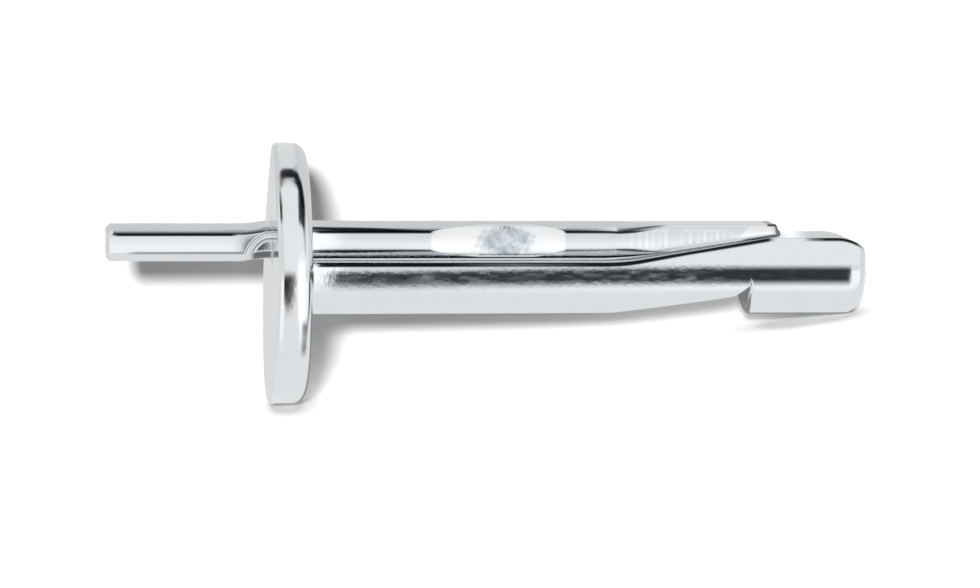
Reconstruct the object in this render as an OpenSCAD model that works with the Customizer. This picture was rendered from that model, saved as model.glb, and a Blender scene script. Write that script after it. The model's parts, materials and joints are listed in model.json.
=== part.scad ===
// Hammer-set ceiling wedge anchor: a cold-formed body with a round head, a D-shaped
// shank and a ramp, and a steel expansion pin that is driven along the shank's flat.
// Both pieces are drawn straight along X, with the bearing face of the head at X = 0
// and the shank's axis at Z = 0. lay_down() then rests them on a level surface, on the
// rim of the head and the end of the tip block.

/* [Shank] */
// Diameter of the round shank
shank_d = 6; // [5:0.1:8]
// Length of the body below the head
shank_len = 35.7; // [32:0.1:60]
// Radius of the rounded edge at the end of the body
end_round = 1; // [0.4:0.1:1.2]
// Radius of the corner between the head and the shank
neck_round = 0.4; // [0.2:0.05:0.8]

/* [Head] */
// Diameter of the head
head_d = 16.5; // [14:0.1:20]
// Thickness of the head
head_t = 2.1; // [1.6:0.1:3]
// Radius of the rim's rounded edge on the bearing side
rim_round = 0.9; // [0.2:0.05:1]
// Radius of the rim's rounded edge on the struck side
face_round = 0.3; // [0.2:0.05:0.5]
// How far the head's centre lies below the shank's axis
head_drop = 0.35; // [0:0.05:0.6]

/* [Ramp and tip block] */
// Length from the foot of the ramp to the end of the body
ramp_run = 15.7; // [14:0.1:20]
// Slope of the ramp, in degrees
ramp_angle = 8.6; // [7:0.1:9.5]
// Height of the land behind the ramp, above the shank's axis
land_h = 2.12; // [1.6:0.02:2.3]
// Radius that blends the flat into the ramp
foot_blend = 16; // [6:1:24]
// Radius that blends the ramp into the land
crest_blend = 10; // [4:1:20]
// Length over which the land is rounded down to the end of the body
land_dip_run = 1.9; // [1:0.1:2.4]
// Radius of that rounding
land_dip_round = 2.7; // [2.5:0.1:6]
// How much thinner the neck under the ramp is than the shank
neck_thin = 0.3; // [0.1:0.05:0.6]
// Length of the full-diameter block at the tip
block_len = 7.6; // [6:0.1:9]
// Depth of the notch root below the shank's axis
notch_root = 0.87; // [0.6:0.01:1.2]
// Slope of the notch behind the block, in degrees
notch_angle = 39; // [24:1:45]
// Lean of the block's rear wall towards the tip, in degrees
wall_lean = 7.5; // [0:0.5:12]

/* [Expansion pin] */
// Diameter of the pin's wire
pin_d = 2.4; // [2:0.05:2.6]
// Width of the pin across its two side flats
pin_flats = 2.18; // [1.8:0.02:2.3]
// Length of the pin that stands out of the head before it is driven
tail_len = 10.4; // [6:0.1:12]
// Bevel on the struck end of the pin
tail_bevel = 0.3; // [0.1:0.05:0.5]
// Length of the wedge past the foot of the ramp
wedge_len = 10.05; // [8:0.05:12]
// Width of the wedge across its sides
wedge_w = 2.5; // [2.4:0.05:3]
// How much lower the back of the wedge is pressed than the wire's
wedge_press = 0.12; // [0:0.02:0.3]
// How far the foot of the wedge's end stands ahead of its top
wedge_rake = 0.28; // [0:0.02:0.5]

/* [Pressed mark on the pin] */
// Distance from the bearing face to the start of the mark
mark_start = 7.8; // [3:0.1:10]
// Length of the slope nearer the head
mark_lead = 3.2; // [1:0.1:4]
// Length of the mark's flat floor
mark_floor = 3.5; // [2:0.1:5]
// Length of the slope nearer the tip
mark_run = 2; // [1:0.1:4]
// Depth of the floor below the pin's side flats
mark_depth = 0.48; // [0.2:0.02:0.6]

/* [Clearances] */
// Gap between the pin and the shank's flat
seat_gap = 0.05; // [0.03:0.01:0.1]
// Gap round the pin in the head's hole
hole_gap = 0.18; // [0.17:0.01:0.25]
// Gap between the wedge and the ramp
wedge_gap = 0.12; // [0.1:0.01:0.2]

/* [Hidden] */

$fn = 96;
arc_steps = 8;    // steps in each short arc of a profile
past = 1;         // how far a cutter reaches past what it cuts

shank_r = shank_d / 2;
head_r = head_d / 2;
pin_r = pin_d / 2;
pin_z = shank_r - pin_r;                // the pin's back is level with the round shank
flat_z = pin_z - pin_r - seat_gap;      // the flat that the pin slides on
hole_r = pin_r + hole_gap;

// Ramp and underside, as X positions and heights
ramp_x = shank_len - ramp_run;
crest_x = ramp_x + (land_h - flat_z) / tan(ramp_angle);
neck_t = shank_r + flat_z - neck_thin;
block_x = shank_len - block_len;
neck_start_x = ramp_x - neck_thin / tan(ramp_angle);
notch_x = (tan(notch_angle) * block_x + notch_root - tan(ramp_angle) * ramp_x + flat_z - neck_t)
    / (tan(notch_angle) - tan(ramp_angle));

// Wedge of the pin
wedge_x = ramp_x - 0.6;                 // where the wire starts to change into the wedge
tip_x = ramp_x + wedge_len;
wedge_rings = 18;
wedge_sides = 40;
square_run = 3.9;                       // length over which the wedge turns square
square_power = 9;                       // how square its section gets
side_swell = 0.05;                      // how far the section would swell past its sides
rake_run = 2;                           // length over which the wedge's end comes to lean
weld_inset = 0.015;                     // how far the wedge's root lies inside the wire
weld_len = 0.4;                         // and how far it reaches back into it

function arc(cx, cy, r, from, to) = [
    for (i = [0:arc_steps]) let (a = from + (to - from) * i / arc_steps)
        [cx + r * cos(a), cy + r * sin(a)]
];

// Height of the flat, the ramp and the land at any X, with both blends
function ramp_line(x) = flat_z + (x - ramp_x) * tan(ramp_angle);
function blend_low(x, corner, r) =
    let (reach = r * tan(ramp_angle / 2), u = x - (corner - reach))
    r - sqrt(r * r - u * u);
foot_reach = foot_blend * tan(ramp_angle / 2);
crest_reach = crest_blend * tan(ramp_angle / 2);
dip_x = shank_len - land_dip_run;
function dip(u) = land_dip_round - sqrt(pow(land_dip_round, 2) - u * u);
function top_z(x) =
    x < ramp_x - foot_reach ? flat_z
    : x < ramp_x + foot_reach * cos(ramp_angle) ? flat_z + blend_low(x, ramp_x, foot_blend)
    : x < crest_x - crest_reach * cos(ramp_angle) ? ramp_line(x)
    : x < crest_x + crest_reach
        ? land_h - (crest_blend - sqrt(pow(crest_blend, 2) - pow(crest_x + crest_reach - x, 2)))
    : x < dip_x ? land_h
    : land_h - dip(x - dip_x);

module anchor_body() {
    color("silver") lay_down() straight_body();
}

module expansion_pin() {
    color("gainsboro") lay_down() straight_pin();
}

module along_x() {
    rotate([0, 90, 0]) children();
}

// Extrudes a side view, drawn in X and Z, to both sides of the middle
module side_view(width) {
    rotate([90, 0, 0]) linear_extrude(height = width, center = true) children();
}

module straight_body() {
    difference() {
        union() {
            head();
            shaped_shank();
        }
        pin_hole();
    }
}

module head() {
    translate([-head_t, 0, -head_drop]) along_x() rotate_extrude()
        polygon(concat(
            [[0, 0]],
            arc(head_r - face_round, face_round, face_round, -90, 0),
            arc(head_r - rim_round, head_t - rim_round, rim_round, 0, 90),
            [[0, head_t]]
        ));
}

module shaped_shank() {
    difference() {
        shank_blank();
        above_ramp();
        below_neck();
    }
}

module shank_blank() {
    along_x() rotate_extrude() polygon(concat(
        [[0, -head_t / 2], [shank_r + neck_round, -head_t / 2]],
        arc(shank_r + neck_round, neck_round, neck_round, -90, -180),
        arc(shank_r - end_round, shank_len - end_round, end_round, 0, 90),
        [[0, shank_len]]
    ));
}

module above_ramp() {
    foot = [for (i = [0:arc_steps])
        ramp_x + foot_reach * (-1 + (1 + cos(ramp_angle)) * i / arc_steps)];
    crest = [for (i = [0:arc_steps])
        crest_x + crest_reach * (-cos(ramp_angle) + (1 + cos(ramp_angle)) * i / arc_steps)];
    lip = [for (i = [0:arc_steps]) dip_x + land_dip_run * i / arc_steps];
    side_view(shank_d + 2 * past) polygon(concat(
        [[0, shank_r + past], [0, flat_z]],
        [for (x = concat(foot, crest, lip)) [x, top_z(x)]],
        [[shank_len + past, top_z(shank_len)], [shank_len + past, shank_r + past]]
    ));
}

module below_neck() {
    notch_z = ramp_line(notch_x) - neck_t;
    low_z = -shank_r - past;
    side_view(shank_d + 2 * past) polygon([
        [neck_start_x - past / tan(ramp_angle), low_z],
        [notch_x, notch_z],
        [block_x, -notch_root],
        [block_x - (low_z + notch_root) * tan(wall_lean), low_z]
    ]);
}

module pin_hole() {
    translate([-head_t - past, 0, pin_z]) along_x()
        cylinder(r = hole_r, h = head_t + past + neck_round);
}

module straight_pin() {
    difference() {
        union() {
            wire();
            wedge();
        }
        pressed_mark();
        mirror([0, 1, 0]) pressed_mark();
    }
}

// Round wire with two side flats and a bevelled end for the hammer
module wire() {
    wire_len = head_t + tail_len + wedge_x;
    intersection() {
        translate([-head_t - tail_len, 0, pin_z]) along_x() rotate_extrude() polygon([
            [0, 0],
            [pin_r - tail_bevel, 0],
            [pin_r, tail_bevel],
            [pin_r, wire_len],
            [0, wire_len]
        ]);
        side_view(pin_flats) translate([-head_t - tail_len - past, 0])
            square([wire_len + 2 * past, shank_r + past]);
    }
}

// A shallow pressing with a level floor and two sloped ends, on the -Y side
module pressed_mark() {
    side_y = pin_flats / 2;
    floor_y = side_y - mark_depth;
    lead_slope = mark_depth / mark_lead;
    run_slope = mark_depth / mark_run;
    mark_end = mark_start + mark_lead + mark_floor + mark_run;
    linear_extrude(height = shank_r + past) polygon([
        [mark_start - past, -side_y - past * lead_slope],
        [mark_start + mark_lead, -floor_y],
        [mark_end - mark_run, -floor_y],
        [mark_end + past, -side_y - past * run_slope]
    ]);
}

// The wire's section turns from round to square as its underside climbs with the ramp
module wedge() {
    xs = concat([wedge_x - weld_len], [for (i = [0:wedge_rings])
        wedge_x + (tip_x - wedge_x) * i / wedge_rings]);
    ring_count = len(xs);
    ring_points = [for (i = [0:ring_count - 1], k = [0:wedge_sides - 1])
        wedge_point(xs[i], 360 * k / wedge_sides, i < 2 ? weld_inset : 0)];
    cap_centres = [
        [xs[0], 0, pin_z],
        (wedge_point(tip_x, 90, 0) + wedge_point(tip_x, -90, 0)) / 2
    ];
    last = (ring_count - 1) * wedge_sides;
    root_c = ring_count * wedge_sides;
    caps = [for (k = [0:wedge_sides - 1])
        let (n = (k + 1) % wedge_sides)
        each [[k, n, root_c], [last + n, last + k, root_c + 1]]];
    skin = [for (i = [0:ring_count - 2], k = [0:wedge_sides - 1])
        let (a = i * wedge_sides, b = a + wedge_sides, n = (k + 1) % wedge_sides)
        each [[a + k, b + k, b + n], [a + k, b + n, a + n]]];
    polyhedron(concat(ring_points, cap_centres), concat(caps, skin), convexity = 4);
}

function ease(t) = t <= 0 ? 0 : t >= 1 ? 1 : t * t * (3 - 2 * t);
function root_power(v, p) = sign(v) * pow(abs(v), p);
function wedge_point(x, a, inset) =
    let (
        turn = ease((x - wedge_x) / square_run),
        power = 2 / (2 + (square_power - 2) * turn),
        high_z = shank_r - wedge_press * turn,
        low_z = max(pin_z - pin_r, top_z(x) + wedge_gap * turn + seat_gap * (1 - turn)),
        half_h = (high_z - low_z) / 2 - inset,
        side = (pin_flats + (wedge_w - pin_flats) * turn) / 2 - inset,
        half_w = (pin_d + (wedge_w - pin_d) * turn) / 2 + side_swell * turn - inset,
        y = half_w * root_power(cos(a), power),
        z = (high_z + low_z) / 2 + half_h * root_power(sin(a), power),
        rake = wedge_rake * ease((x - tip_x) / rake_run + 1) * (high_z - z) / (high_z - low_z)
    )
    [x + rake, max(-side, min(side, y)), z];

// Resting place: the floor touches the rounded rim of the head and the rounded end
rim_c = [-rim_round, rim_round - head_r - head_drop];
end_c = [shank_len - end_round, end_round - shank_r];
reach = end_c - rim_c;
lean = atan2(reach.y, reach.x) - asin((end_round - rim_round) / norm(reach));
floor_drop = rim_c.x * sin(lean) - rim_c.y * cos(lean) + rim_round;
tail_end_x = (-head_t - tail_len) * cos(lean) + (pin_z - pin_r + tail_bevel) * sin(lean);
tip_end_x = shank_len * cos(lean) + min(top_z(shank_len), shank_r - end_round) * sin(lean);

module lay_down() {
    translate([-(tail_end_x + tip_end_x) / 2, 0, floor_drop]) rotate([0, lean, 0]) children();
}

anchor_body();
expansion_pin();
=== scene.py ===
"""Hammer-set ceiling wedge anchor in bright zinc: a round head, a D-shaped shank with
a ramp and a tip block, and the expansion pin that lies along the shank's flat.

Every surface is worked out in the straight frame, in millimetres: X runs along the
shank from the bearing face of the head, and Z = 0 is the shank's axis. lay() then
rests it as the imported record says, in metres.
"""
import json

import bpy
import numpy as np
from mathutils import Matrix

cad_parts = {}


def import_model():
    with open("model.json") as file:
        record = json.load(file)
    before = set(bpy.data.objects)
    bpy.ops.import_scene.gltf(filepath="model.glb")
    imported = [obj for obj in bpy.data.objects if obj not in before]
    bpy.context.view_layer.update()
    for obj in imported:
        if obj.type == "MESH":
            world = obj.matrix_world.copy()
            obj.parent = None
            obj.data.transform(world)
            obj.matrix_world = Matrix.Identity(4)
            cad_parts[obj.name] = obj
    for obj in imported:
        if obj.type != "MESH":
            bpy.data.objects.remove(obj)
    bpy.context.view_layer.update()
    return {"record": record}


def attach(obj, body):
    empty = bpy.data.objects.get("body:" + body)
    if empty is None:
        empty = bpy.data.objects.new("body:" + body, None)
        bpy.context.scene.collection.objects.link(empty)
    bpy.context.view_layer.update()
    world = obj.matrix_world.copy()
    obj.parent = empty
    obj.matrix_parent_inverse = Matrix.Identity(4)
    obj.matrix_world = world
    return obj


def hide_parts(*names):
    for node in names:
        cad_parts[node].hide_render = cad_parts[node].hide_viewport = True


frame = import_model()

# ---------------------------------------------------------------- sizes, mm
SHANK_R, SHANK_LEN, END_ROUND, NECK_ROUND = 3.0, 35.7, 1.0, 0.4
HEAD_R, HEAD_T, RIM_ROUND, FACE_ROUND, HEAD_DROP = 8.25, 2.1, 0.9, 0.3, 0.35
RAMP_X, RAMP_SLOPE, LAND_H = 20.0, np.tan(np.radians(8.6)), 2.12
FOOT_BLEND, CREST_BLEND, DIP_RUN, DIP_ROUND = 16.0, 10.0, 1.9, 2.7
NECK_THIN, BLOCK_X, NOTCH_ROOT = 0.3, 28.1, 0.87
NOTCH_SLOPE, WALL_LEAN = np.tan(np.radians(39.0)), np.tan(np.radians(7.5))
PIN_R, PIN_FLAT, TAIL_LEN, TAIL_BEVEL = 1.2, 1.09, 10.4, 0.3
WEDGE_X, TIP_X, WEDGE_HALF, WEDGE_PRESS = 19.4, 30.05, 1.25, 0.12
SQUARE_RUN, WEDGE_RAKE, RAKE_RUN = 3.9, 0.28, 2.0
MARK_X, MARK_LEAD, MARK_FLOOR, MARK_RUN, MARK_DEPTH = 7.8, 3.2, 3.5, 2.0, 0.48
SEAT_GAP, HOLE_GAP, WEDGE_GAP = 0.05, 0.18, 0.07
PIN_Z = SHANK_R - PIN_R
FLAT_Z = PIN_Z - PIN_R - SEAT_GAP
TAIL_X = -HEAD_T - TAIL_LEN
# fine forms: how far the underside stands in from the round blank, its corner, and the
# soft corners where neck, notch and blank meet
UNDER_TRIM, FOOT_ROUND, NOTCH_SOFT, UNDER_SOFT = 0.012, 0.1, 0.12, 0.04
# the block's broken rear edge, and the run over which its wall's lean dies out
BLOCK_EDGE, LEAN_RUN = 0.22, 1.5
# slopes of the struck face: all over, and taken off at its top
FACE_LEAN, TOP_LEAN = 0.0275, 0.05
# along x: the rounding of the flat's corners, and how far its lip stands up; the lip's
# width across
LIP_WIDTH = 0.6
LIP_ROUND = ([0, 20, 23, 29.6, 30.4, SHANK_LEN], [0.3, 0.3, 0.15, 0.15, 0.16, 0.16])
LIP_HEIGHT = ([0, 20, 23, 29.6, 30.4], [0.17, 0.17, 0.15, 0.15, 0])
# how far the pin's side stands in, its crown and small corner, the wedge's upper corner
# and its broken end
PIN_TRIM, PIN_CROWN, PIN_CORNER, WEDGE_CORNER, TIP_BREAK = 0.016, 0.009, 0.06, 0.13, 0.1
# the tail lies lower beyond the squeezed neck
TAIL_SAG, SAG_RUN = 0.165, 1.6
GRIP_PITCH, GRIP_DEPTH, RIPPLE_PITCH, RIPPLE_DEPTH = 0.47, 0.006, 0.42, 0.014

# ---------------------------------------------------------------- resting place
mounts = {m["name"]: m for m in frame["record"]["mounts"]}
face = mounts["bearing_face"]
ALONG = np.array(face["axis"], float)
SIDEWAYS = np.array([0.0, 1.0, 0.0])
UP = np.array([-ALONG[2], 0.0, ALONG[0]])
ROW_TURN = np.stack([ALONG, SIDEWAYS, UP], axis=1)
FACE_DROP = 0.0055  # the face's mount lies this far below the axis, in metres
ORIGIN = np.array(face["pos_m"], float) + FACE_DROP * UP


def lay(points):
    """Straight millimetres to the row frame: origin + x along + y sideways + z up."""
    p = np.asarray(points, float) * 0.001
    return ORIGIN + p[..., :1] * ALONG + p[..., 1:2] * SIDEWAYS + p[..., 2:3] * UP


# ---------------------------------------------------------------- camera's place
AZIMUTH, HEIGHT, ROLL = np.radians([7.41, 6.9, 0.742])
AIM, FAR, LENS, SENSOR = np.array([11.815, 0, -1.690]), 207.0, 119.59, 36.0
AWAY = np.array([np.sin(AZIMUTH) * np.cos(HEIGHT), np.cos(AZIMUTH) * np.cos(HEIGHT),
                 -np.sin(HEIGHT)])
EYE = AIM - AWAY * FAR


# ---------------------------------------------------------------- small helpers
def ease(t):
    """0 below 0, 1 above 1, and t*t*(3 - 2t) between."""
    t = np.clip(t, 0.0, 1.0)
    return t * t * (3 - 2 * t)


def soft_max(a, b, k):
    """The larger of a and b, with the corner between them rounded over about k."""
    return (a + b + np.sqrt((a - b) ** 2 + k * k)) / 2


def spread(*parts):
    """Joins runs (start, end, count) into one rising list of stations."""
    runs = [np.linspace(a, b, n, endpoint=False) for a, b, n in parts]
    return np.concatenate(runs + [[parts[-1][1]]])


def fan(cy, cz, radius, start, end, count):
    """Arcs of count points, one at each station: centre + radius * (cos a, sin a), with
    a from start up to, but not at, end."""
    a = start[:, None] + (end - start)[:, None] * np.linspace(0, 1, count, endpoint=False)
    return cy[:, None] + radius[:, None] * np.cos(a), cz[:, None] + radius[:, None] * np.sin(a)


def joined(parts):
    """Runs of (y, z) arrays, one after the other round the ring."""
    return [np.concatenate([part[i] for part in parts], axis=1) for i in (0, 1)]


def closing(ring, shares):
    """Copies of a ring drawn in to its middle: middle + share * (ring - middle)."""
    middle = ring.mean(0)
    return np.stack([middle + (ring - middle) * s for s in shares])


def skin(name, rings, caps=True, close_ends=False, wrap=True, **marks):
    """Mesh of an (n, m, 3) grid of rings, each closed on itself where wrap is set. caps
    adds a pole at the middle of each end ring; close_ends joins the last ring to the
    first. marks are (n, m) arrays kept as point attributes."""
    n, m = rings.shape[:2]
    points = rings.reshape(-1, 3)
    rows = n if close_ends else n - 1
    i, k = np.meshgrid(np.arange(rows), np.arange(m if wrap else m - 1), indexing="ij")
    a, b = i * m + k, (i + 1) % n * m + k
    a1, b1 = i * m + (k + 1) % m, (i + 1) % n * m + (k + 1) % m
    quads = np.stack([a, a1, b1, b], axis=-1).reshape(-1, 4)
    faces = [quads]
    if caps:
        k = np.arange(m)
        k1 = (k + 1) % m
        last = (n - 1) * m
        poles = np.stack([rings[0].mean(0), rings[-1].mean(0)])
        points = np.concatenate([points, poles])
        start = np.stack([k1, k, np.full(m, n * m)], axis=-1)
        end = np.stack([last + k, last + k1, np.full(m, n * m + 1)], axis=-1)
        faces.append(np.concatenate([start, end]))
    mesh = bpy.data.meshes.new(name)
    loops = np.concatenate([f.reshape(-1) for f in faces])
    sizes = np.concatenate([np.full(len(f), f.shape[1]) for f in faces])
    starts = np.concatenate([[0], np.cumsum(sizes)[:-1]])
    mesh.vertices.add(len(points))
    mesh.vertices.foreach_set("co", lay(points).astype(np.float32).ravel())
    mesh.loops.add(len(loops))
    mesh.loops.foreach_set("vertex_index", loops.astype(np.int32))
    mesh.polygons.add(len(sizes))
    mesh.polygons.foreach_set("loop_start", starts.astype(np.int32))
    mesh.polygons.foreach_set("use_smooth", np.ones(len(sizes), bool))
    mesh.update(calc_edges=True)
    mesh.validate()
    for label, values in marks.items():
        flat = np.asarray(values, float).reshape(-1)
        flat = np.concatenate([flat, np.zeros(len(points) - len(flat))])
        mesh.attributes.new(label, "FLOAT", "POINT").data.foreach_set(
            "value", flat.astype(np.float32))
    piece = bpy.data.objects.new(name, mesh)
    bpy.context.scene.collection.objects.link(piece)
    return piece


# ---------------------------------------------------------------- anchor body
def ramp_line(x):
    """Straight line of the ramp."""
    return FLAT_Z + (x - RAMP_X) * RAMP_SLOPE


def top_height(x):
    """Flat, foot blend, ramp, crest blend, land, and the rounding down to the end. A
    blend is an arc: its centre's height, plus or minus sqrt(radius^2 - run^2)."""
    half = np.arctan(RAMP_SLOPE) / 2
    foot, crest = FOOT_BLEND * np.tan(half), CREST_BLEND * np.tan(half)
    cos_ramp = np.cos(2 * half)
    crest_x = RAMP_X + (LAND_H - FLAT_Z) / RAMP_SLOPE
    dip_x = SHANK_LEN - DIP_RUN
    rise = np.clip(x - (RAMP_X - foot), 0, 2 * foot)
    fall = np.clip(crest_x + crest - x, 0, 2 * crest)
    sag = np.clip(x - dip_x, 0, DIP_RUN)
    return np.select(
        [x < RAMP_X - foot, x < RAMP_X + foot * cos_ramp, x < crest_x - crest * cos_ramp,
         x < crest_x + crest, x < dip_x],
        [np.full_like(x, FLAT_Z),
         FLAT_Z + FOOT_BLEND - np.sqrt(FOOT_BLEND ** 2 - rise ** 2),
         ramp_line(x),
         LAND_H - CREST_BLEND + np.sqrt(CREST_BLEND ** 2 - fall ** 2),
         np.full_like(x, LAND_H)],
        LAND_H - DIP_ROUND + np.sqrt(DIP_ROUND ** 2 - sag ** 2))


def under_height(x):
    """Underside: the round shank, the neck under the ramp, and the notch's slope."""
    neck = ramp_line(x) - (SHANK_R + FLAT_Z - NECK_THIN)
    notch = -NOTCH_ROOT + (x - BLOCK_X) * NOTCH_SLOPE
    blank = -SHANK_R + UNDER_TRIM
    relieved = soft_max(soft_max(neck, notch, NOTCH_SOFT), blank, UNDER_SOFT)
    return np.where(x < BLOCK_X - 1e-6, relieved, blank)


def blank_radius(x):
    """Round blank: fillet under the head, full radius, rounded end. Each round adds or
    takes off its radius - sqrt(radius^2 - run^2)."""
    under = np.clip(NECK_ROUND - x, 0, NECK_ROUND)
    over = np.clip(x - (SHANK_LEN - END_ROUND), 0, END_ROUND)
    return (SHANK_R + NECK_ROUND - np.sqrt(NECK_ROUND ** 2 - under ** 2)
            - END_ROUND + np.sqrt(END_ROUND ** 2 - over ** 2))


def shank_rings(x):
    """Rings of the shank at stations x: a disc cut level above and below, its corners
    rounded and the upper ones raised a little. A half ring runs from the middle of the
    underside up the -Y side. Also gives how far each point has turned over the upper
    corner, from 0 on the round side to 1 on the flat."""
    r, top, low = blank_radius(x), top_height(x), under_height(x)
    low = np.maximum(low, -r + UNDER_TRIM)
    lip, ridge = np.interp(x, *LIP_ROUND), np.interp(x, *LIP_HEIGHT)
    foot = np.full_like(x, FOOT_ROUND)
    low_z, low_y = low + foot, np.sqrt(np.maximum((r - foot) ** 2 - (low + foot) ** 2, 0))
    top_z = top + ridge - lip
    top_y = np.sqrt(np.maximum((r - lip) ** 2 - top_z ** 2, 0))
    from_a, to_a = np.arctan2(low_z, low_y), np.arctan2(top_z, top_y)
    mid_a = np.full_like(x, np.radians(-6.0))

    zero = np.zeros_like(x)
    right = np.full_like(x, np.pi / 2)
    level_n, corner_n, lower_n, upper_n, edge_n, flat_n = 4, 5, 44, 40, 14, 25
    t = np.linspace(0, 1, level_n, endpoint=False)
    level = (low_y[:, None] * t, np.repeat(low[:, None], level_n, axis=1))
    corner = fan(low_y, low_z, foot, -right, from_a, corner_n)
    lower = fan(zero, zero, r, from_a, mid_a, lower_n)
    upper = fan(zero, zero, r, mid_a, to_a, upper_n)
    edge = fan(top_y, top_z, lip, to_a, right, edge_n)
    y = top_y[:, None] * np.linspace(1, 0, flat_n)
    inward = ease((top_y[:, None] - y) / LIP_WIDTH)
    flat = (y, top[:, None] + ridge[:, None] * (1 - inward))
    side = (level, corner, lower, upper)
    y, z = joined(side + (edge, flat))
    y = np.concatenate([-y, y[:, -2:0:-1]], axis=1)
    z = np.concatenate([z, z[:, -2:0:-1]], axis=1)
    xs = np.repeat(x[:, None], y.shape[1], axis=1)
    across = np.concatenate([np.zeros(sum(part[0].shape[1] for part in side)),
                             np.linspace(0, 1, edge_n, endpoint=False)])
    turned = np.ones(y.shape)
    turned[:, :len(across)] = across
    turned[:, -len(across) + 1:] = across[:0:-1]
    return np.stack([xs, y, z], axis=-1), turned


def shape_block(rings):
    """Breaks the block's rear edge with a small radius, below the notch's root only, by
    drawing its rings in by r - sqrt(r * r - behind * behind), and leans its rear wall
    towards the tip with a lean that dies out along the block."""
    along = rings[..., 0] - BLOCK_X
    behind = np.clip(BLOCK_EDGE - along, 0, BLOCK_EDGE)
    shrink = np.where(rings[..., 0] >= BLOCK_X - 1e-9,
                      BLOCK_EDGE - np.sqrt(BLOCK_EDGE ** 2 - behind ** 2), 0)
    low = ease((-0.45 - rings[..., 2]) / 0.5)
    rings[..., 1:] *= (1 - shrink * low / SHANK_R)[..., None]
    sheer = WALL_LEAN * np.clip(-NOTCH_ROOT - rings[..., 2], 0, None)
    rings[..., 0] += np.where(along > -1e-9, sheer * (1 - ease(along / LEAN_RUN)), 0)


def shank_soil(rings, turned):
    """Painted shade along the edge between the round side and the flat, a dark line where
    the seam under the pin falls in shade: half of the corner, and a bell of the height below
    the flat under it, times the line's weight along x."""
    xs, zs = rings[..., 0], rings[..., 2]
    below = top_height(xs) - zs
    drop = np.interp(xs, [0, 20, 24, 29.6, 30.4], [0.13, 0.13, 0.03, 0.03, 0.16])
    seam = np.where(turned > 0, ease((0.62 - turned) / 0.3),
                    np.exp(-(np.clip(below - drop, 0, 1) / 0.05) ** 2))
    seam *= (zs > 0) & (np.abs(rings[..., 1]) > 0.5)
    weight = np.interp(xs, [0.55, 0.8, 9, 13, 18, 24, 29.3, 29.8, 31.5, 32.1, 33, 35.0, 35.5],
                       [0, 1, 1, 0.85, 1, 1, 1, 0, 0, 0.7, 1, 1, 0])
    return seam * weight


def ramped_shank():
    """Shank from just inside the head to its end face, with stations close together
    where its shape turns. The end face closes in three steps to its middle."""
    end_x = SHANK_LEN - END_ROUND
    x = spread((-0.5, 0, 3), (0, 0.45, 14), (0.45, 14, 40), (14, 20, 30), (20, 26.6, 34),
               (26.6, BLOCK_X - 0.02, 26), (BLOCK_X - 0.02, BLOCK_X, 1), (BLOCK_X, 28.5, 8),
               (28.5, 33.8, 26), (33.8, end_x, 8))
    tip = end_x + END_ROUND * np.sin(np.linspace(0, np.pi / 2, 26)[1:])
    tip[-1] = SHANK_LEN - 1e-4
    rings, turned = shank_rings(np.concatenate([x, tip]))
    shape_block(rings)
    rings = np.concatenate([rings, closing(rings[-1], (0.97, 0.6, 0.25))])
    turned = np.concatenate([turned, np.zeros((3, turned.shape[1]))])
    xs = rings[..., 0]
    # Painted shade: a dark line along the flat's edge.
    return skin("ramped_shank", rings, edge_soil=shank_soil(rings, turned),
                # Painted shade greys the land's level top.
                block=ease((xs - 26) / 3), crown=ease((xs - 31.6) / 0.6) * (turned >= 0.8))


def rim_profile(s):
    """Rim's profile at s mm along it, 0 at the start of the bearing side's rounding,
    s > 0 on that rounding, then the level side, then the struck side's rounding.
    Gives depth from the bearing face, radius, and the normal's tilt to +X."""
    level = HEAD_T - RIM_ROUND - FACE_ROUND
    near = np.clip(s, 0, None) / RIM_ROUND
    far = np.clip(-s - level, 0, None) / FACE_ROUND
    depth = (RIM_ROUND * (1 - np.sin(near)) + np.clip(-s, 0, level) + FACE_ROUND * np.sin(far))
    radius = HEAD_R - RIM_ROUND * (1 - np.cos(near)) - FACE_ROUND * (1 - np.cos(far))
    return depth, radius, near - far


def face_lean(depth, y, z):
    """Shift to +X that grows from the bearing side to the struck face, which is not
    quite square: it leans back at its top, less so on the -Y side."""
    share = ease((depth - RIM_ROUND) / (HEAD_T - RIM_ROUND))
    height = z + HEAD_DROP
    slope = FACE_LEAN - TOP_LEAN * ease(height / 2) * ease(0.5 - y / HEAD_R / 2)
    return share * slope * height


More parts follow.
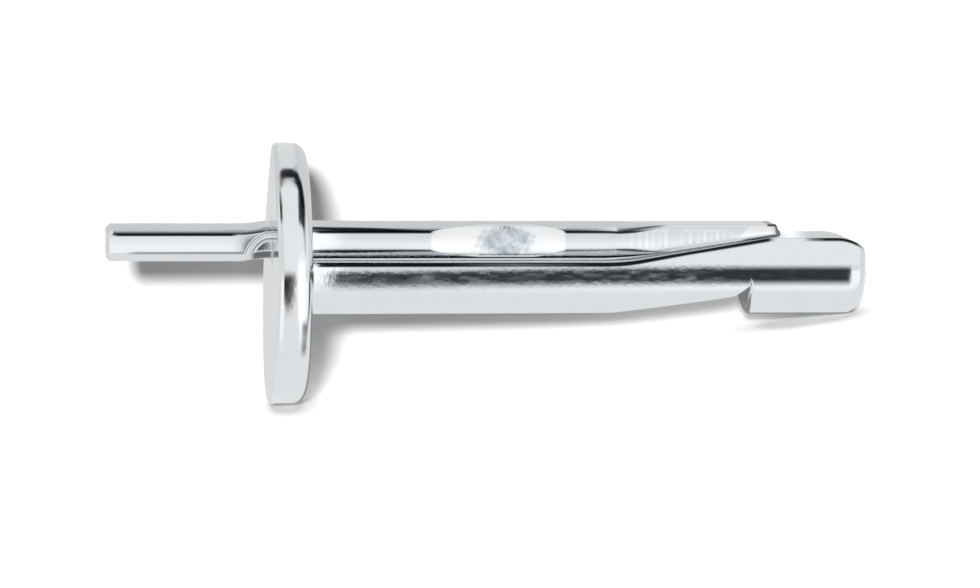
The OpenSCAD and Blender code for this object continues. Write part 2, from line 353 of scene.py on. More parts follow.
def round_head():
    """Disc with an eccentric hole. The profile runs over the bearing face from the
    hole to the rim, round the rim, over the outer face back to the hole, and through
    the hole. On the faces a point is (1 - s) * hole circle + s * rim circle."""
    turn = np.linspace(0, 2 * np.pi, 300, endpoint=False)
    hole_r = PIN_R + HOLE_GAP
    level = HEAD_T - RIM_ROUND - FACE_ROUND
    rim = np.concatenate([
        np.linspace(RIM_ROUND * np.pi / 2, 0, 30, endpoint=False), np.linspace(0, -level, 10),
        -level - np.linspace(0, FACE_ROUND * np.pi / 2, 14)[1:]])
    rim_depth, rim_r, _ = rim_profile(rim)
    near, hole = 16, 8  # stations on the bearing face, and through the hole
    beyond = near - 1 + hole
    face = np.linspace(0, 1, near, endpoint=False)
    share = np.concatenate([face, np.ones(len(rim)), face[:0:-1], np.zeros(hole)])
    rim_part = np.concatenate([np.zeros(near), rim_r, np.zeros(beyond)])
    depth = np.concatenate([np.zeros(near), rim_depth, np.full(near - 1, HEAD_T),
                            np.linspace(HEAD_T, 0, hole + 1)[:-1]])
    outer = np.where(rim_part > 0, rim_part, np.where(depth < 1, rim_r[0], rim_r[-1]))
    s, o, d = share[:, None], outer[:, None], depth[:, None]
    y = (s * o + (1 - s) * hole_r) * np.cos(turn)
    z = (s * o + (1 - s) * hole_r) * np.sin(turn) + (1 - s) * PIN_Z - s * HEAD_DROP
    rings = np.stack([face_lean(d, y, z) - d + 0 * y, y, z], axis=-1)
    # two painted dark reflections low on the bearing side's rounding
    up = np.degrees(np.arctan2(z + HEAD_DROP, -y))
    along = np.concatenate([np.full(near, HEAD_T), rim, np.full(beyond, -HEAD_T)])[:, None]
    rub = np.interp(up, [-33, -28, -22, -17, -13], [0, 0.8, 0.6, 1, 0])
    rub = rub * ease((0.17 - np.abs(along - 0.4)) / 0.2 + 0.5)
    return skin("round_head", rings, caps=False, close_ends=True, rub=rub)


# ---------------------------------------------------------------- expansion pin
def mark_depth(x):
    """Depth of the pressed mark: a level floor between two slopes, which is its full
    depth times the lesser slope's share, held between 0 and 1."""
    end = MARK_X + MARK_LEAD + MARK_FLOOR + MARK_RUN
    return MARK_DEPTH * np.clip(np.minimum((x - MARK_X) / MARK_LEAD, (end - x) / MARK_RUN), 0, 1)


def pin_rings(x):
    """Rings of the pin at stations x. A quarter of a ring is a side flat, a little
    crowned, then a small corner, an arc and a level top; wire and wedge differ in the
    arc's radius, in where it starts and in the half width. Also marks the points on
    the small corner and the start of the arc with 1."""
    turn = ease((x - WEDGE_X) / SQUARE_RUN)
    back = SHANK_R - WEDGE_PRESS * turn
    gap = WEDGE_GAP * turn + SEAT_GAP * (1 - turn)
    seat = np.maximum(PIN_Z - PIN_R, top_height(x) + gap)
    bevel = np.clip(TAIL_BEVEL - (x - TAIL_X), 0, TAIL_BEVEL)
    half = PIN_FLAT - PIN_TRIM + (WEDGE_HALF - PIN_FLAT) * turn - mark_depth(x) - bevel
    height = (back - seat) / 2
    full = np.minimum(PIN_R + (WEDGE_CORNER - PIN_R) * turn, height - 0.004)
    start = np.arccos(np.clip(PIN_FLAT / PIN_R, 0, 1)) * (1 - turn) + 0.06 * turn
    level = np.maximum(half + mark_depth(x) - full * np.cos(start), 0.004)
    level = np.minimum(level, half - PIN_CROWN)
    centre_z = height - full
    radius = full - np.minimum(bevel, full - 0.1)
    corner_y = half - PIN_CROWN - PIN_CORNER
    begin = np.arccos(np.clip((corner_y - level) / (radius - PIN_CORNER), -1, 0.9985))

    zero = np.zeros_like(x)
    right = np.full_like(x, np.pi / 2)
    corner_z = centre_z + (radius - PIN_CORNER) * np.sin(begin)
    side_n, corner_n, arc_n, top_n = 14, 7, 34, 5
    t = np.linspace(0, 1, side_n, endpoint=False)
    side = (half[:, None] - PIN_CROWN * t ** 2, corner_z[:, None] * t)
    corner = fan(corner_y, corner_z, np.full_like(x, PIN_CORNER), zero, begin, corner_n)
    arc = fan(level, centre_z, radius, begin, right, arc_n)
    top = (level[:, None] * np.linspace(1, 0, top_n),
           np.repeat((centre_z + radius)[:, None], top_n, axis=1))
    y, z = joined((side, corner, arc, top))
    y = np.concatenate([-y, y[:, -2::-1], y[:, 1:], -y[:, -2:0:-1]], axis=1)
    z = np.concatenate([z, z[:, -2::-1], -z[:, 1:], -z[:, -2:0:-1]], axis=1)
    z = z + ((back + seat) / 2)[:, None]
    reach = (z - seat[:, None]) / (back - seat)[:, None]
    rake = WEDGE_RAKE * ease((x - TIP_X) / RAKE_RUN + 1)[:, None] * (1 - np.clip(reach, 0, 1))
    edge = np.zeros(side_n + corner_n + arc_n + top_n)
    edge[side_n - 1:side_n + corner_n + 3] = 1
    edge = np.concatenate([edge, edge[-2::-1], edge[1:], edge[-2:0:-1]])
    return np.stack([x[:, None] + rake, y, z], axis=-1), np.repeat(edge[None], len(x), axis=0)


def break_tip(rings, x):
    """Rounds the edge of the wedge's end: the last rings draw in to their middle by
    r - sqrt(r * r - over * over)."""
    over = np.clip(x - (TIP_X - TIP_BREAK), 0, TIP_BREAK)
    shrink = TIP_BREAK - np.sqrt(np.maximum(TIP_BREAK ** 2 - over ** 2, 0))
    off = rings - rings.mean(1, keepdims=True)
    rings[..., 1:] -= (np.sign(off) * np.minimum(shrink[:, None, None], np.abs(off)))[..., 1:]


def grip_marks(rings, zs):
    """Rolls grip marks across the wedge's sides: shallow cosine grooves of uneven weight
    that fade at the ends and edges of their field and in a worn place. Gives a painted
    highlight on the strokes between them: how bright they are."""
    xs, ys = rings[..., 0], rings[..., 1]
    weight = 0.5 + 0.5 * np.sin(5.3 * xs + 1.2 * np.sin(2.2 * xs))
    wander = 1.5 * np.sin(1.7 * xs) + 0.35 * zs
    teeth = (0.5 + 0.5 * np.cos(2 * np.pi * xs / GRIP_PITCH + wander)) ** 2
    low = top_height(xs) + 0.3
    field = ease((xs - 20.3) / 0.5) * ease((27.4 - xs) / 0.8)
    field *= ease((zs - low) / 0.3) * ease((2.62 - zs) / 0.25) * (np.abs(ys) > 1.0)
    field *= 1 - 0.75 * ease((xs - 22.9) / 0.3) * ease((24.2 - xs) / 0.3)
    rings[..., 1] -= np.sign(ys) * GRIP_DEPTH * (1 - teeth) * field
    return teeth * field * (0.4 + 0.6 * weight)


def squeeze_neck(rings, zs, beside):
    """Presses two ripples into the wire's sides under the head's face: cosine rings
    round a point low in the hole's mouth. Gives painted shade in them and below them."""
    xs, ys = rings[..., 0], rings[..., 1]
    from_mouth = np.hypot(xs + 2.2, (zs - 0.75) * 1.02)
    field = ease((from_mouth - 0.95) / 0.2) * ease((1.75 - from_mouth) / 0.15)
    field *= (xs < -2.0) * beside * ease((zs - 1.05) / 0.25)
    wave = np.cos(2 * np.pi * (from_mouth - 1.45) / RIPPLE_PITCH)
    rings[..., 1] -= np.sign(ys) * RIPPLE_DEPTH * (1 - wave) * field
    # Painted shade: a dark blot below the ripples, where the pin meets the head.
    blot = ease((xs + 3.5) / 0.35) * ease((-2.05 - xs) / 0.2) * ease((1.25 - zs) / 0.15)
    blot *= beside * ease((zs - 0.62) / 0.1)
    return np.maximum(0.45 * field * ease(-wave + 0.1), 0.85 * blot)


def pin_soil(xs, zs, edge, beside):
    """Painted shade on the pin, the most of: dark lines along its edges where they are not
    pressed away, the wedge's lowest edge near its tip, and the tip's dark corner and end;
    and darker specks at the top of the pressed mark."""
    worn = 1 - ease(mark_depth(xs) / 0.05)
    upper = zs > (SHANK_R + top_height(xs)) / 2 + 0.02
    line = np.interp(xs, [TAIL_X + 0.4, TAIL_X + 0.7, -4.6, -4.2, 0.4, 0.9, 21.0, 23.0],
                     [0, 1, 1, 0, 0, 1, 1, 0]) * upper
    line += np.interp(xs, [TAIL_X + 1.2, TAIL_X + 2, -4.0, -3.8, 0.4, 0.9, 19.2, 19.9],
                      [0, 0.55, 0.6, 0, 0, 0.35, 0.35, 0]) * ~upper
    foot = ease((top_height(xs) + 0.22 - zs) / 0.06) * ease((xs - 27.6) / 0.6)
    spot = ease((xs - 29.35) / 0.15) * ease((zs - 2.72) / 0.06)
    nose = ease((xs - 29.86 - 0.125 * (2.9 - zs)) / 0.06)
    specks = ease((np.sin(9.1 * xs) * np.sin(13 * xs + 1) - 0.25) / 0.2)
    specks *= ease((0.15 - np.abs(zs - 2.62)) / 0.08) * ease((1.1 - np.abs(xs - 12.9)) / 0.3)
    return np.maximum.reduce([edge * line * worn, 0.8 * beside * foot, spot, 0.8 * nose,
                              0.5 * specks * beside])


def pressed_finish(xs, zs, beside):
    """The pressed mark is dull in a ragged patch at its middle and painted lighter round it,
    a painted highlight. Gives the dull patch, and the painted highlight."""
    ragged = 0.13 * np.sin(7 * xs + 3 * zs) * np.sin(9 * zs - 4 * xs)
    from_middle = np.hypot((xs - 12.65) / 1.85, (zs - 1.75) / 0.95) + ragged
    dull = ease((1.15 - from_middle) / 0.45) * (mark_depth(xs) > 0.05)
    entry = ease((xs - MARK_X - 0.75 * ((zs - 1.8) / 0.9) ** 2) / 0.12)
    burnish = ease(mark_depth(xs) / 0.02) * entry * (1 - dull) * beside
    return dull * beside, burnish * ease((2.72 - zs) / 0.1)


def tip_rub(xs, zs):
    """Painted highlight on the wedge's side near its tip: a pale place with a slanting rear
    edge.
    """
    rub = ease((xs - 27.6 - 0.9 * (zs - 2.1)) / 0.12) * ease((29.75 - xs) / 0.1)
    return rub * ease((zs - top_height(xs) - 0.2) / 0.08) * ease((2.8 - zs) / 0.08)


def expansion_pin():
    """Wire, pressed mark and wedge in one skin, with stations close together where its
    shape or its marks turn. The ends close in three steps to their middles, and the
    tail beyond the neck is lowered after all heights are read."""
    tip = TIP_X - TIP_BREAK
    x = spread((TAIL_X + 0.03, TAIL_X + TAIL_BEVEL, 6), (TAIL_X + TAIL_BEVEL, -4.4, 30),
               (-4.4, -2.1, 50), (-2.1, 7.7, 36), (7.7, 7.9, 4), (7.9, 10.9, 40),
               (10.9, 11.1, 4), (11.1, 14.4, 40), (14.4, 14.6, 4), (14.6, 16.4, 24),
               (16.4, 16.6, 4), (16.6, 19.3, 16), (19.3, 27.2, 166), (27.2, tip, 40))
    x = np.concatenate([x, tip + TIP_BREAK * np.sin(np.linspace(0, np.pi / 2, 7)[1:])])
    rings, edge = pin_rings(x)
    break_tip(rings, x)
    rings = np.concatenate([closing(rings[0], (0.3, 0.7, 0.98)), rings,
                            closing(rings[-1], (0.96, 0.6, 0.25))])
    plain = np.zeros((3, edge.shape[1]))
    edge = np.concatenate([plain, edge, plain])
    xs, ys, zs = rings[..., 0], rings[..., 1], rings[..., 2].copy()
    beside = np.abs(ys) > 0.45
    rings[..., 2] -= TAIL_SAG * ease((-2.4 - xs) / SAG_RUN)
    stroke = grip_marks(rings, zs)
    # Painted shade: dark lines, the wedge's foot and tip, and round the squeezed neck; and
    # darker specks.
    soil = np.maximum(squeeze_neck(rings, zs, beside), pin_soil(xs, zs, edge, beside))
    dull, burnish = pressed_finish(xs, zs, beside)
    # Painted highlights: the lighter ring round the pressed mark, the pale place near the tip
    # and the bright grip strokes.
    white = np.maximum.reduce([burnish, tip_rub(xs, zs) * (np.abs(ys) > 1.0), 0.9 * stroke])
    return skin("drive_pin", rings, edge_soil=np.clip(soil, 0, 1), white=np.clip(white, 0, 1),
                pressed=dull)


# ---------------------------------------------------------------- finishes
# noise scales, in waves per metre: drift of colour, dull patches, mottle and grain
CLOUD, PATCHES, MOTTLE, GRAIN = 700.0, 1500.0, 3300.0, 9000.0
# heights in metres of a body's mottle and grain, then the head's, then the pin's
BODY_SKIN, HEAD_SKIN, PIN_SKIN = (17e-6, 1.5e-6), (2.5e-6, 1e-6), (1.2e-6, 0.5e-6)


class Nodes:
    """Short way to add linked nodes to one material or world."""

    def __init__(self, name, kind=bpy.data.materials):
        """Makes a material, or a world where kind is that list, and clears its nodes."""
        self.owner = kind.new(name)
        self.owner.use_nodes = True
        self.tree = self.owner.node_tree
        self.tree.nodes.clear()

    def add(self, kind, inputs=None, **settings):
        """Node of this kind with its settings, and its inputs linked or set."""
        node = self.tree.nodes.new(kind)
        for key, value in settings.items():
            setattr(node, key, value)
        for key, value in (inputs or {}).items():
            socket = node.inputs[key]
            if isinstance(value, bpy.types.NodeSocket):
                self.tree.links.new(value, socket)
            else:
                socket.default_value = value
        return node


def zinc(name, bright, roughness, heights, coats, calm=None):
    """Bright zinc plate: a metal whose colour drifts faintly, with a mottled skin of
    two grain sizes and heights. A coat is (attribute, strength, colour) laid over the
    colour, in patches where its strength is negative, and calm names the attribute
    where the skin is smoother."""
    n = Nodes(name)
    place = n.add("ShaderNodeTexCoord").outputs["Object"]
    cloud = n.add("ShaderNodeTexNoise", {"Vector": place, "Scale": CLOUD, "Detail": 4.0})
    tone = n.add("ShaderNodeMix", {0: cloud.outputs["Fac"], 6: (*bright, 1),
                                   7: tuple(c * 0.94 for c in bright) + (1,)}, data_type="RGBA")
    colour = tone.outputs[2]
    for mark, strength, paint in coats:
        value = n.add("ShaderNodeAttribute", attribute_name=mark).outputs["Fac"]
        if strength < 0:
            patches = n.add("ShaderNodeTexNoise", {"Vector": place, "Scale": PATCHES,
                                                   "Detail": 6.0, "Roughness": 0.6})
            patches = n.add("ShaderNodeMapRange", {"Value": patches.outputs["Fac"],
                                                   1: 0.42, 2: 0.62})
            value = n.add("ShaderNodeMath", {0: value, 1: patches.outputs[0]},
                          operation="MULTIPLY").outputs[0]
        amount = n.add("ShaderNodeMath", {0: value, 1: abs(strength)},
                       operation="MULTIPLY").outputs[0]
        colour = n.add("ShaderNodeMix", {0: amount, 6: colour, 7: (*paint, 1)},
                       data_type="RGBA").outputs[2]
    coarse = n.add("ShaderNodeTexNoise", {"Vector": place, "Scale": MOTTLE, "Detail": 3.0,
                                          "Roughness": 0.6}).outputs["Fac"]
    if calm:
        value = n.add("ShaderNodeAttribute", attribute_name=calm).outputs["Fac"]
        keep = n.add("ShaderNodeMath", {0: value, 1: -0.75, 2: 1.0},
                     operation="MULTIPLY_ADD").outputs[0]
        coarse = n.add("ShaderNodeMath", {0: coarse, 1: keep}, operation="MULTIPLY").outputs[0]
    grain = n.add("ShaderNodeTexNoise", {"Vector": place, "Scale": GRAIN, "Detail": 2.0})
    first = n.add("ShaderNodeBump", {"Height": coarse, "Strength": 1.0,
                                     "Distance": heights[0]})
    second = n.add("ShaderNodeBump", {"Height": grain.outputs["Fac"], "Strength": 1.0,
                                      "Distance": heights[1], "Normal": first.outputs[0]})
    metal = n.add("ShaderNodeBsdfPrincipled", {"Base Color": colour, "Metallic": 1.0,
                                               "Roughness": roughness,
                                               "Normal": second.outputs[0]})
    n.add("ShaderNodeOutputMaterial", {"Surface": metal.outputs[0]})
    return n.owner


# Colours laid on as painted shade and as painted highlight, in that order.
SOIL, BURNISHED = (0.012, 0.015, 0.018), (0.98, 0.985, 0.99)
shank, head, pin = ramped_shank(), round_head(), expansion_pin()
# The body's coats are painted shade: grey on the land's top and a dark line along the flat's
# edge.
body_zinc = zinc("zinc_body", (0.85, 0.885, 0.905), 0.11, BODY_SKIN,
                 (("crown", 0.3, (0.4, 0.42, 0.43)), ("edge_soil", 1.0, SOIL)), "block")
head_zinc = zinc("zinc_head", (0.87, 0.885, 0.90), 0.10, HEAD_SKIN,
                 # Painted dark reflection low on the rim's rounding.
                 (("rub", 0.9, (0.13, 0.14, 0.15)),))
# The pin's coats: painted highlights, the pressed mark's own duller tone, and painted shade.
pin_zinc = zinc("zinc_pin", (0.84, 0.86, 0.88), 0.11, PIN_SKIN,
                (("white", 1.0, BURNISHED), ("pressed", 0.25, (0.50, 0.58, 0.66)),
                 ("pressed", -0.8, (0.36, 0.43, 0.50)), ("edge_soil", 0.95, SOIL)))
for piece, finish, body, node, slot in (
        (shank, body_zinc, "anchor", "anchor_body", "zinc_plated_body"),
        (head, head_zinc, "anchor", "anchor_body", "zinc_plated_body"),
        (pin, pin_zinc, "pin", "expansion_pin", "zinc_plated_pin")):
    piece.data.materials.append(finish)
    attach(piece, body)
    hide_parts(node)

# ---------------------------------------------------------------- studio
TENT_R, TENT_FROM, TENT_TO, TENT_GLOW = 30.0, -60, 95, 0.93
# y of the dark card along the shank, by the head and further on
CARD_FAR, CARD_NEAR = -8, -5
# The backdrop's cove starts COVE_Y metres behind the part's middle and turns up with a
# radius of COVE_R mm. The paper's glow fades, a painted contact shadow, where something
# stands closer than CONTACT metres.
COVE_Y, COVE_R, BACKDROP_TOP, CONTACT, ROOM = 0.001, 8.5, 60.0, 0.003, 3.0
FLOOR_PAPER, FLOOR_GLOW, COVE_PAPER = (0.80, 0.79, 0.788), 0.82, (0.86, 0.85, 0.848)
COVE_GLOW = ([0, 10, 20, 35, 50, 90], [0.80, 0.60, 0.38, 0.15, 0.03, 0.0])  # by degrees
# Lamps: degrees that the key stands left of and above the camera, widths in degrees
KEY_TURN, KEY_RISE, KEY_WIDTH, KEY_GLOW = 4.0, 7.5, 9, 4.2
FILL_WIDTH, FILL_GLOW = 60, 0.15
WORLD_LIT, WORLD_SEEN = 0.03, 1.0
# Strips sewn on the tent, later ones over earlier ones: from and to along x and the soft
# run at each end in mm, from and to in degrees up from the front and the soft run at
# each edge, and the strip's own glow.
STRIPS = (
    ((-60, 95), (1, 1), (222, 295), (14, 25), 0.86),      # under the part
    ((-60, 95), (1, 1), (88, 176), (12, 8), 0.71),        # over it and behind
    ((-0.8, 1.6), (1, 1), (88, 165), (6, 10), 0.80),      # behind, for the rim
    ((-60, -1.8), (1, 1), (176, 214), (6, 12), 0.74),     # low behind, for the tail
    ((-0.8, 48), (1, 2), (184, 213), (9, 14), 0.27),      # low behind, for the rest
    ((-60, 95), (1, 1), (322, 356), (16, 5), 1.08),       # bright sheet under the lens
    ((-0.8, 1.6), (1, 0.8), (285, 344), (20, 12), 0.86),  # duller there for the rim
    ((2.3, 95), (0.8, 1), (361, 368), (6, 6), 0.82),      # level with the part
    ((-60, -1.8), (1, 1), (10, 44), (10, 4), 0.79),       # above the lens, for the tail
    ((-16, -1.8), (1, 1), (49, 57), (6, 34), 0.06),       # dark edge for the tail
    ((2.3, 22), (0.8, 3), (48, 57), (7, 34), 0.07),       # dark edge for the wire
    ((36.5, 38.2), (0.3, 0.6), (142, 182), (12, 6), 1.15),  # bright patch for the land
)


def tent_glow(x, a):
    """TENT_GLOW, covered by each strip in turn; a strip is whole between its limits and
    eases to nothing over its soft runs. Angles go round."""
    glow = np.full_like(x, TENT_GLOW)
    for (x0, x1), (soft_0, soft_1), (a0, a1), (soft_low, soft_high), shade in STRIPS:
        turn = (a - (a0 + a1) / 2 + 180) % 360 - 180
        half = (a1 - a0) / 2
        cover = ease((turn + half) / soft_low + 1) * ease((half - turn) / soft_high + 1)
        cover *= ease((x - x0) / soft_0 + 1) * ease((x1 - x) / soft_1 + 1)
        glow += cover * (shade - glow)
    return glow


def card_paper(name, shade=None):
    """Glow of the strength in the attribute glow, or else of one shade, clear where the
    attribute cover is 0."""
    n = Nodes(name)
    if shade is None:
        value = n.add("ShaderNodeAttribute", attribute_name="glow").outputs["Fac"]
        light = n.add("ShaderNodeEmission", {"Color": (0.985, 0.995, 1.0, 1), "Strength": value})
    else:
        dark = n.add("ShaderNodeEmission", {"Color": (*shade, 1), "Strength": 1.0})
        cover = n.add("ShaderNodeAttribute", attribute_name="cover").outputs["Fac"]
        clear = n.add("ShaderNodeBsdfTransparent")
        light = n.add("ShaderNodeMixShader", {0: cover, 1: clear.outputs[0],
                                              2: dark.outputs[0]})
    n.add("ShaderNodeOutputMaterial", {"Surface": light.outputs[0]})
    n.owner.cycles.emission_sampling = "NONE"
    return n.owner


def mirrored_only(piece, paper):
    """Stage piece that shows in mirrors and nowhere else."""
    piece.data.materials.append(paper)
    piece.visible_camera = piece.visible_diffuse = piece.visible_shadow = False
    piece.visible_transmission = piece.visible_volume_scatter = False


def tent():
    """Cylinder round the part, x along it and radius TENT_R."""
    x = np.concatenate([np.linspace(TENT_FROM, -2, 60), np.linspace(-1.9, 8, 120),
                        np.linspace(8.3, TENT_TO, 60)])
    grid_x, grid_a = np.meshgrid(x, np.linspace(-180, 180, 721), indexing="ij")
    a = np.radians(grid_a)
    points = np.stack([grid_x, -TENT_R * np.cos(a), TENT_R * np.sin(a)], axis=-1)
    piece = skin("studio_tent", points[:, :-1], caps=False,
                 glow=tent_glow(grid_x, grid_a)[:, :-1])
    mirrored_only(piece, card_paper("tent_paper"))


def mirror_card(name, points, normals, reach, cover, shade):
    """Card of soft outline. Each of its points lies where the camera's sight line,
    turned back by the surface at that point, has run on for reach mm."""
    sight = points - EYE
    sight = sight / np.linalg.norm(sight, axis=-1, keepdims=True)
    back = sight - 2 * (sight * normals).sum(-1, keepdims=True) * normals
    reach = reach(points, back) if callable(reach) else reach
    grid = points + np.asarray(reach)[..., None] * back
    piece = skin(name, grid, caps=False, wrap=False, cover=cover)
    mirrored_only(piece, card_paper(name + "_paper", shade))


def shank_card():
    """Long dark card in front of the shank: solid along its middle and easing out above
    and below, a little wider towards the tip, and slightly blotchy."""
    x = np.concatenate([np.linspace(0.3, 3, 28), np.linspace(3.2, 33.6, 153),
                        np.linspace(33.7, 34.8, 23)])
    up = np.linspace(14, -30, 89)
    grid_x, grid_up = np.meshgrid(x, up, indexing="ij")
    a = np.radians(grid_up)
    normals = np.stack([0 * a, -np.cos(a), np.sin(a)], axis=-1)
    points = np.stack([grid_x, -SHANK_R * np.cos(a), SHANK_R * np.sin(a)], axis=-1)
    share = np.clip((grid_x - 5) / 20, 0, 1)
    upper = (5.2 + 5.2 * share - grid_up) / (6.5 + 1.5 * share)
    lower = (grid_up + 26 - 6 * share) / (17 - 5 * share)
    cover = 0.98 * ease(upper) * ease(lower)
    cover *= ease((grid_x - 0.7) / 1.3) * ease((34.6 - grid_x) / 0.15)
    blotch = np.random.default_rng(7).random((cover.shape[0] // 3 + 1, cover.shape[1] // 5 + 1))
    blotch = np.repeat(np.repeat(blotch ** 4, 3, axis=0), 5, axis=1)
    blotch = blotch[:cover.shape[0], :cover.shape[1]]
    cover *= 1 - 0.25 * blotch * np.clip((28 - grid_x) / 4, 0.1, 1)
    front = (CARD_NEAR - CARD_FAR) * ease((grid_x - 4) / 6) + CARD_FAR
    mirror_card("shank_card", points, normals, lambda p, r: (front - p[..., 1]) / r[..., 1],
                cover, (0.012, 0.018, 0.022))


def rim_card(name, s_range, up_range, reach, cover, shade=(0.01, 0.012, 0.015)):
    """Card for a patch of the rim, from s_range mm along its profile and up_range
    degrees round it; cover is a function of the two."""
    s, up = np.meshgrid(np.linspace(*s_range, 41), np.linspace(*up_range, 81), indexing="ij")
    depth, radius, tilt = rim_profile(s)
    a = np.radians(up)
    z = radius * np.sin(a)
    y = -radius * np.cos(a)
    points = np.stack([face_lean(depth, y, z - HEAD_DROP) - depth, y, z - HEAD_DROP], axis=-1)
    normals = np.stack([np.sin(tilt), -np.cos(tilt) * np.cos(a), np.cos(tilt) * np.sin(a)], -1)
    mirror_card(name, points, normals, reach, cover(s, up), shade)


def rim_cards():
    """Four small cards: a drop on the rim's front, an arch high on it with its leg down
    the bearing side, and a bright patch below that leg."""
    def drop(s, up):
        """Upright strip that leans with up, wider below its top, eased at each end."""
        want = ease((8.5 - up) / 4.2) * ease((up + 15) / 11)
        half = np.interp(up, [-13, -6, 2, 6], [0.08, 0.24, 0.38, 0.34])
        return want * ease((half - np.abs(s + 0.62 - 0.006 * up)) / 0.14 + 0.5)

    def arch(s, up):
        """Band between two lines that fall to both sides, and a faint leg at its left."""
        top = 58 - 3.5 * np.clip(np.abs(s + 0.45) - 0.3, 0, 1) / 0.3
        floor = 51.5 - 6 * np.clip(np.abs(s + 0.45) - 0.2, 0, 1) / 0.3
        cap = ease((top - up) / 2.2 + 0.5) * ease((up - floor) / 2.5 + 0.5)
        left = 0.4 * ease((0.05 - np.abs(s + 0.9)) / 0.06 + 0.5) * ease((up - 46) / 4)
        left *= ease((55 - up) / 2)
        return np.maximum(cap * ease((s + 0.95) / 0.08) * ease((0.2 - s) / 0.12), left)

    def leg(s, up):
        """Strip along a bent line, by its distance from it, darker towards its top."""
        centre = np.interp(up, [12, 20, 34, 48, 54, 58], [0.42, 0.38, 0.33, 0.2, 0.08, 0.0])
        half = np.interp(up, [12, 20, 30, 40, 50, 58], [0.04, 0.07, 0.13, 0.17, 0.13, 0.08])
        want = np.interp(up, [11, 15, 24, 32, 36, 50, 56], [0, .3, .45, .8, 1, 1, .3])
        return want * ease((half - np.abs(s - centre)) / 0.12 + 0.5)

    def patch(s, up):
        """Strip along the bearing side's rounding, set back where it is far from level."""
        want = np.interp(up, [-19, -13, 9, 16], [0, 1, 1, 0])
        return want * ease((s + 0.2 - 0.01 * np.abs(up)) / 0.12) * ease((0.5 - s) / 0.2)

    rim_card("drop_card", (-0.93, 0.1), (10, -17), 9.0, drop)
    rim_card("arch_card", (-0.97, 0.3), (66, 38), 12.0, arch)
    rim_card("leg_card", (-0.05, 0.5), (60, 9), 12.0, leg)
    rim_card("patch_card", (-0.2, 0.5), (18, -21), 4.0, patch, (1.2, 1.2, 1.2))


def sheet(name, corners, faces, paper):
    """Stage sheet that mirrors do not show."""
    mesh = bpy.data.meshes.new(name)
    mesh.from_pydata(corners, [], faces)
    piece = bpy.data.objects.new(name, mesh)
    bpy.context.scene.collection.objects.link(piece)
    mesh.materials.append(paper)
    piece.visible_glossy = False
    return piece


def open_sky(n):
    """1 in the open, down to 0 where something stands close over the paper."""
    near = n.add("ShaderNodeAmbientOcclusion", {"Distance": CONTACT}, samples=16)
    return n.add("ShaderNodeMapRange", {"Value": near.outputs["AO"], 1: 0.3, 2: 0.88}).outputs[0]


def floor_paper(name, contact):
    """Pale paper that glows for the camera so that it is white, less so where contact is
    set and something stands close over it: a painted contact shadow."""
    n = Nodes(name)
    path = n.add("ShaderNodeLightPath")
    paper = n.add("ShaderNodeBsdfDiffuse", {"Color": (*FLOOR_PAPER, 1)})
    seen = n.add("ShaderNodeMath", {0: path.outputs["Is Camera Ray"], 1: FLOOR_GLOW},
                 operation="MULTIPLY").outputs[0]
    if contact:
        seen = n.add("ShaderNodeMath", {0: seen, 1: open_sky(n)},
                     operation="MULTIPLY").outputs[0]
    glow = n.add("ShaderNodeEmission", {"Color": (1, 0.99, 0.985, 1), "Strength": seen})
    both = n.add("ShaderNodeAddShader", {0: paper.outputs[0], 1: glow.outputs[0]})
    n.add("ShaderNodeOutputMaterial", {"Surface": both.outputs[0]})
    return n.owner


def floor():
    """Pale floor in two sheets that meet where the backdrop starts. Only the near one
    darkens under the part, with a painted contact shadow."""
    for name, near, far, contact in (("floor", -ROOM, COVE_Y, True),
                                     ("floor_behind", COVE_Y, ROOM, False)):
        sheet(name, [(-ROOM, near, 0), (ROOM, near, 0), (ROOM, far, 0), (-ROOM, far, 0)],
              [(0, 1, 2, 3)], floor_paper("pale_" + name, contact))


def backdrop_paper():
    """Pale paper that glows by its attribute, less so where something stands close over
    it as a painted contact shadow, and is clear from behind."""
    n = Nodes("pale_backdrop")
    paper = n.add("ShaderNodeBsdfDiffuse", {"Color": (*COVE_PAPER, 1)})
    value = n.add("ShaderNodeAttribute", attribute_name="glow").outputs["Fac"]
    value = n.add("ShaderNodeMath", {0: value, 1: open_sky(n)}, operation="MULTIPLY").outputs[0]
    glow = n.add("ShaderNodeEmission", {"Color": (1, 0.985, 0.98, 1), "Strength": value})
    both = n.add("ShaderNodeAddShader", {0: paper.outputs[0], 1: glow.outputs[0]})
    side = n.add("ShaderNodeNewGeometry")
    clear = n.add("ShaderNodeBsdfTransparent")
    pick = n.add("ShaderNodeMixShader", {0: side.outputs["Backfacing"], 1: both.outputs[0],
                                         2: clear.outputs[0]})
    n.add("ShaderNodeOutputMaterial", {"Surface": pick.outputs[0]})
    return n.owner


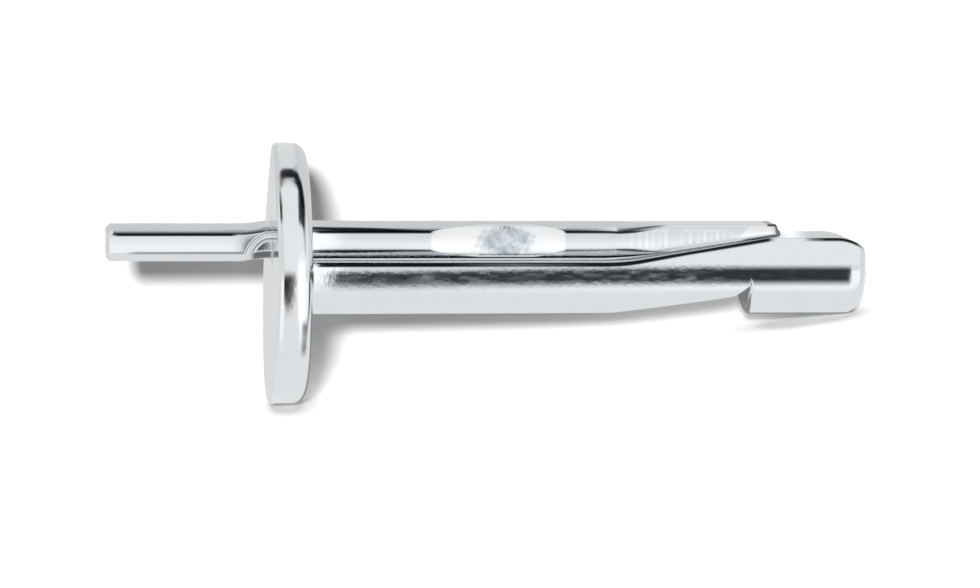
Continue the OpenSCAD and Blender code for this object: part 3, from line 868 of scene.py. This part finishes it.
def backdrop():
    """Pale sheet that curves up close behind the part and takes its shadow: a quarter
    turn of radius COVE_R from the floor, then upright. Near the floor it glows as the
    floor does, and less as it turns upright."""
    a = np.radians(np.linspace(0, 90, 46))
    y = np.concatenate([COVE_R * np.sin(a), [COVE_R]]) * 0.001 + COVE_Y
    z = np.concatenate([COVE_R * (1 - np.cos(a)), [BACKDROP_TOP]]) * 0.001 + 1e-6
    x = np.linspace(-ROOM, ROOM, 7)
    points = np.stack([np.repeat(x, len(y)), np.tile(y, len(x)), np.tile(z, len(x))], axis=-1)
    i, k = np.meshgrid(np.arange(len(x) - 1), np.arange(len(y) - 1), indexing="ij")
    first = (i * len(y) + k).reshape(-1)
    faces = np.stack([first, first + len(y), first + len(y) + 1, first + 1], axis=-1)
    card = sheet("backdrop", points.tolist(), faces.tolist(), backdrop_paper())
    level = np.interp(np.concatenate([np.degrees(a), [90]]), *COVE_GLOW)
    card.data.attributes.new("glow", "FLOAT", "POINT").data.foreach_set(
        "value", np.tile(level, len(x)).astype(np.float32))
    card.visible_diffuse = card.visible_shadow = False


def sun(name, towards, angle, strength):
    """Even light that travels towards the given direction, soft by its angle."""
    data = bpy.data.lights.new(name, "SUN")
    data.angle, data.energy = np.radians(angle), strength
    lamp = bpy.data.objects.new(name, data)
    bpy.context.scene.collection.objects.link(lamp)
    towards = np.array(towards, float)
    up = (0, 0, 1) if abs(towards[2]) < 0.9 else (0, 1, 0)
    lamp.matrix_world = look(-towards, np.zeros(3), up)
    lamp.visible_camera = lamp.visible_glossy = False


def lights():
    """Front key from the upper left of the camera, and a faint broad one from above."""
    azimuth, height = AZIMUTH + np.radians(KEY_TURN), HEIGHT + np.radians(KEY_RISE)
    key = np.array([np.sin(azimuth) * np.cos(height), np.cos(azimuth) * np.cos(height),
                    -np.sin(height)])
    sun("front_key", ROW_TURN @ key, KEY_WIDTH, KEY_GLOW)
    sun("top_fill", (0.1, 0.2, -1), FILL_WIDTH, FILL_GLOW)


def look(place, aim, up=(0, 0, 1)):
    """Matrix of something at place whose -Z looks at aim."""
    back = (place - aim) / np.linalg.norm(place - aim)
    side = np.cross(up, back)
    side /= np.linalg.norm(side)
    top = np.cross(back, side)
    m = np.eye(4)
    m[:3, 0], m[:3, 1], m[:3, 2], m[:3, 3] = side, top, back, place
    return Matrix(m.tolist())


def camera():
    """Looks at AIM from EYE, turned by ROLL about its line of sight."""
    side = np.array([np.cos(AZIMUTH), -np.sin(AZIMUTH), 0])
    top = np.cross(side, AWAY)
    side, top = (side * np.cos(ROLL) + top * np.sin(ROLL),
                 -side * np.sin(ROLL) + top * np.cos(ROLL))
    data = bpy.data.cameras.new("camera")
    data.sensor_width, data.lens = SENSOR, LENS
    data.clip_start, data.clip_end = 0.01, 10
    eye = bpy.data.objects.new("camera", data)
    bpy.context.scene.collection.objects.link(eye)
    m = np.eye(4)
    m[:3, :3] = ROW_TURN @ np.stack([side, top, -AWAY], axis=1)
    m[:3, 3] = lay(EYE)
    eye.matrix_world = Matrix(m.tolist())
    bpy.context.scene.camera = eye


def world():
    """White for the camera and in mirrors, and nearly dark for all else, so that the
    lamps alone light the paper."""
    n = Nodes("studio", bpy.data.worlds)
    path = n.add("ShaderNodeLightPath")
    seen = n.add("ShaderNodeMath", {0: path.outputs["Is Camera Ray"],
                                    1: path.outputs["Is Glossy Ray"]}, operation="MAXIMUM")
    strength = n.add("ShaderNodeMix", {0: seen.outputs[0], 2: WORLD_LIT, 3: WORLD_SEEN})
    back = n.add("ShaderNodeBackground", {"Strength": strength.outputs[0]})
    n.add("ShaderNodeOutputWorld", {"Surface": back.outputs[0]})
    bpy.context.scene.world = n.owner


tent()
shank_card()
rim_cards()
floor()
backdrop()
lights()
camera()
world()
bpy.context.scene.view_settings.view_transform = "Standard"
